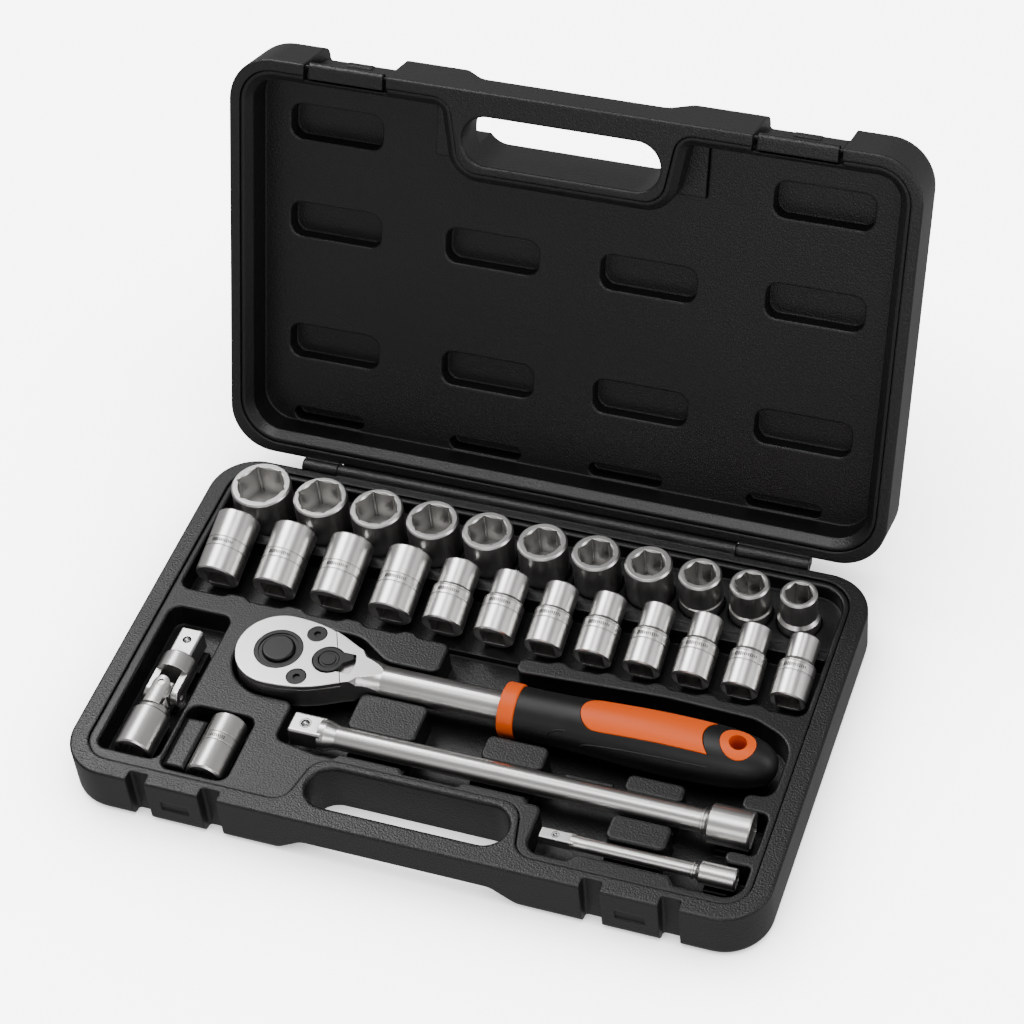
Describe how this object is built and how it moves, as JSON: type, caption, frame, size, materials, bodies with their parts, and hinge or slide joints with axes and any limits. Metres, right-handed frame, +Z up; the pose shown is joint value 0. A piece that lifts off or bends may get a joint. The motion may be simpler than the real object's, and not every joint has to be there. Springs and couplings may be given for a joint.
{
  "type": "socket wrench set in case",
  "caption": "Hinged plastic carrying case, open, with a moulded tray of chrome sockets, a ratchet handle, extension bars, a universal joint and a reducing coupler.",
  "frame": {"origin": "middle of the case's flat underside", "axes": "+X to the right along the case's length, +Y from the handle to the hinge, +Z up"},
  "size_m": [0.37, 0.3433, 0.2433],
  "materials": {
    "case_plastic": "fine grain",
    "insert_plastic": "satin",
    "pin_steel": "ground",
    "tool_chrome": "satin chrome",
    "black_steel": "black oxide",
    "grip_rubber": "soft matte",
    "accent_plastic": "satin orange"
  },
  "bodies": {
    "base": {"case_base": "case_plastic", "tool_tray": "insert_plastic", "hinge_pin": "black_steel"},
    "lid": {"case_lid": "case_plastic", "lid_liner": "insert_plastic", "latch_pins": "black_steel"},
    "latch_left": {"latch_left": "case_plastic"},
    "latch_right": {"latch_right": "case_plastic"},
    "ratchet": {"ratchet_body": "tool_chrome", "cover_plate": "tool_chrome", "cover_screws": "black_steel", "pawl_ball": "pin_steel", "pawl_spring": "pin_steel", "handle_grip": "grip_rubber", "grip_panel": "accent_plastic", "grip_collar": "accent_plastic", "hang_eyelet": "accent_plastic"},
    "gear": {"drive_gear": "tool_chrome", "gear_collar": "black_steel", "drive_ball": "pin_steel", "release_spring": "pin_steel"},
    "button": {"release_button": "black_steel"},
    "lever": {"direction_lever": "black_steel", "pawl": "pin_steel"},
    "joint_drive": {"joint_drive_yoke": "tool_chrome", "joint_ball": "pin_steel"},
    "joint_cross": {"joint_cross": "tool_chrome"},
    "joint_socket": {"joint_socket_yoke": "tool_chrome"},
    "long_bar": {"long_extension": "tool_chrome", "long_extension_ball": "pin_steel"},
    "short_bar": {"short_extension": "tool_chrome", "short_extension_ball": "pin_steel"},
    "coupler": {"reducing_coupler": "tool_chrome"},
    "upright_socket_24mm": {"upright_socket_24mm": "tool_chrome"},
    "upright_socket_22mm": {"upright_socket_22mm": "tool_chrome"},
    "upright_socket_21mm": {"upright_socket_21mm": "tool_chrome"},
    "upright_socket_20mm": {"upright_socket_20mm": "tool_chrome"},
    "upright_socket_19mm": {"upright_socket_19mm": "tool_chrome"},
    "upright_socket_18mm": {"upright_socket_18mm": "tool_chrome"},
    "upright_socket_17mm": {"upright_socket_17mm": "tool_chrome"},
    "upright_socket_16mm": {"upright_socket_16mm": "tool_chrome"},
    "upright_socket_15mm": {"upright_socket_15mm": "tool_chrome"},
    "upright_socket_14mm": {"upright_socket_14mm": "tool_chrome"},
    "upright_socket_13mm": {"upright_socket_13mm": "tool_chrome"},
    "lying_socket_17mm": {"lying_socket_17mm": "tool_chrome"},
    "lying_socket_16mm": {"lying_socket_16mm": "tool_chrome"},
    "lying_socket_15mm": {"lying_socket_15mm": "tool_chrome"},
    "lying_socket_14mm": {"lying_socket_14mm": "tool_chrome"},
    "lying_socket_13mm": {"lying_socket_13mm": "tool_chrome"},
    "lying_socket_12mm": {"lying_socket_12mm": "tool_chrome"},
    "lying_socket_11mm": {"lying_socket_11mm": "tool_chrome"},
    "lying_socket_10mm": {"lying_socket_10mm": "tool_chrome"},
    "lying_socket_9mm": {"lying_socket_9mm": "tool_chrome"},
    "lying_socket_8mm": {"lying_socket_8mm": "tool_chrome"},
    "lying_socket_7mm": {"lying_socket_7mm": "tool_chrome"},
    "lying_socket_6mm": {"lying_socket_6mm": "tool_chrome"}
  },
  "joints": [
    {"name": "lid_hinge", "type": "hinge", "parent": "base", "child": "lid", "pos_m": [0, 0.1165, 0.029], "axis": [-1, 0, 0], "range_deg": [-110.4, 0]},
    {"name": "latch_left_hinge", "type": "hinge", "parent": "lid", "child": "latch_left", "pos_m": [-0.12, 0.20021, 0.24059], "axis": [1, 0, 0], "range_deg": [0, 180]},
    {"name": "latch_right_hinge", "type": "hinge", "parent": "lid", "child": "latch_right", "pos_m": [0.12, 0.20021, 0.24059], "axis": [1, 0, 0], "range_deg": [0, 180]},
    {"name": "drive_gear_spin", "type": "hinge", "parent": "ratchet", "child": "gear", "pos_m": [-0.0992, -0.0172, 0.028], "axis": [0, 0, 1], "continuous": true},
    {"name": "release_button_press", "type": "slide", "parent": "gear", "child": "button", "axis": [0, 0, -1], "range_m": [0, 0.003], "stiffness_N_per_m": 300, "deforming": ["release_spring"]},
    {"name": "direction_lever_turn", "type": "hinge", "parent": "ratchet", "child": "lever", "pos_m": [-0.0712, -0.0172, 0.036], "axis": [0, 0, 1], "range_deg": [-40, 0]},
    {"name": "joint_cross_tilt", "type": "hinge", "parent": "joint_drive", "child": "joint_cross", "pos_m": [-0.151, -0.0525, 0.025], "axis": [-1, 0, 0], "range_deg": [0, 40]},
    {"name": "joint_socket_swing", "type": "hinge", "parent": "joint_cross", "child": "joint_socket", "pos_m": [-0.151, -0.0525, 0.025], "axis": [0, 0, 1], "range_deg": [-6, 6]},
    {"name": "ratchet_lift", "type": "slide", "parent": "base", "child": "ratchet", "axis": [0, 0, 1], "range_m": [0, 0.06]},
    {"name": "long_bar_lift", "type": "slide", "parent": "base", "child": "long_bar", "axis": [0, 0, 1], "range_m": [0, 0.06]},
    {"name": "short_bar_lift", "type": "slide", "parent": "base", "child": "short_bar", "axis": [0, 0, 1], "range_m": [0, 0.06]},
    {"name": "joint_lift", "type": "slide", "parent": "base", "child": "joint_drive", "axis": [0, 0, 1], "range_m": [0, 0.06]},
    {"name": "coupler_lift", "type": "slide", "parent": "base", "child": "coupler", "axis": [0, 0, 1], "range_m": [0, 0.06]},
    {"name": "upright_socket_24mm_lift", "type": "slide", "parent": "base", "child": "upright_socket_24mm", "axis": [0, 0, 1], "range_m": [0, 0.06]},
    {"name": "upright_socket_22mm_lift", "type": "slide", "parent": "base", "child": "upright_socket_22mm", "axis": [0, 0, 1], "range_m": [0, 0.06]},
    {"name": "upright_socket_21mm_lift", "type": "slide", "parent": "base", "child": "upright_socket_21mm", "axis": [0, 0, 1], "range_m": [0, 0.06]},
    {"name": "upright_socket_20mm_lift", "type": "slide", "parent": "base", "child": "upright_socket_20mm", "axis": [0, 0, 1], "range_m": [0, 0.06]},
    {"name": "upright_socket_19mm_lift", "type": "slide", "parent": "base", "child": "upright_socket_19mm", "axis": [0, 0, 1], "range_m": [0, 0.06]},
    {"name": "upright_socket_18mm_lift", "type": "slide", "parent": "base", "child": "upright_socket_18mm", "axis": [0, 0, 1], "range_m": [0, 0.06]},
    {"name": "upright_socket_17mm_lift", "type": "slide", "parent": "base", "child": "upright_socket_17mm", "axis": [0, 0, 1], "range_m": [0, 0.06]},
    {"name": "upright_socket_16mm_lift", "type": "slide", "parent": "base", "child": "upright_socket_16mm", "axis": [0, 0, 1], "range_m": [0, 0.06]},
    {"name": "upright_socket_15mm_lift", "type": "slide", "parent": "base", "child": "upright_socket_15mm", "axis": [0, 0, 1], "range_m": [0, 0.06]},
    {"name": "upright_socket_14mm_lift", "type": "slide", "parent": "base", "child": "upright_socket_14mm", "axis": [0, 0, 1], "range_m": [0, 0.06]},
    {"name": "upright_socket_13mm_lift", "type": "slide", "parent": "base", "child": "upright_socket_13mm", "axis": [0, 0, 1], "range_m": [0, 0.06]},
    {"name": "lying_socket_17mm_lift", "type": "slide", "parent": "base", "child": "lying_socket_17mm", "axis": [0, 0, 1], "range_m": [0, 0.06]},
    {"name": "lying_socket_16mm_lift", "type": "slide", "parent": "base", "child": "lying_socket_16mm", "axis": [0, 0, 1], "range_m": [0, 0.06]},
    {"name": "lying_socket_15mm_lift", "type": "slide", "parent": "base", "child": "lying_socket_15mm", "axis": [0, 0, 1], "range_m": [0, 0.06]},
    {"name": "lying_socket_14mm_lift", "type": "slide", "parent": "base", "child": "lying_socket_14mm", "axis": [0, 0, 1], "range_m": [0, 0.06]},
    {"name": "lying_socket_13mm_lift", "type": "slide", "parent": "base", "child": "lying_socket_13mm", "axis": [0, 0, 1], "range_m": [0, 0.06]},
    {"name": "lying_socket_12mm_lift", "type": "slide", "parent": "base", "child": "lying_socket_12mm", "axis": [0, 0, 1], "range_m": [0, 0.06]},
    {"name": "lying_socket_11mm_lift", "type": "slide", "parent": "base", "child": "lying_socket_11mm", "axis": [0, 0, 1], "range_m": [0, 0.06]},
    {"name": "lying_socket_10mm_lift", "type": "slide", "parent": "base", "child": "lying_socket_10mm", "axis": [0, 0, 1], "range_m": [0, 0.06]},
    {"name": "lying_socket_9mm_lift", "type": "slide", "parent": "base", "child": "lying_socket_9mm", "axis": [0, 0, 1], "range_m": [0, 0.06]},
    {"name": "lying_socket_8mm_lift", "type": "slide", "parent": "base", "child": "lying_socket_8mm", "axis": [0, 0, 1], "range_m": [0, 0.06]},
    {"name": "lying_socket_7mm_lift", "type": "slide", "parent": "base", "child": "lying_socket_7mm", "axis": [0, 0, 1], "range_m": [0, 0.06]},
    {"name": "lying_socket_6mm_lift", "type": "slide", "parent": "base", "child": "lying_socket_6mm", "axis": [0, 0, 1], "range_m": [0, 0.06]}
  ]
}
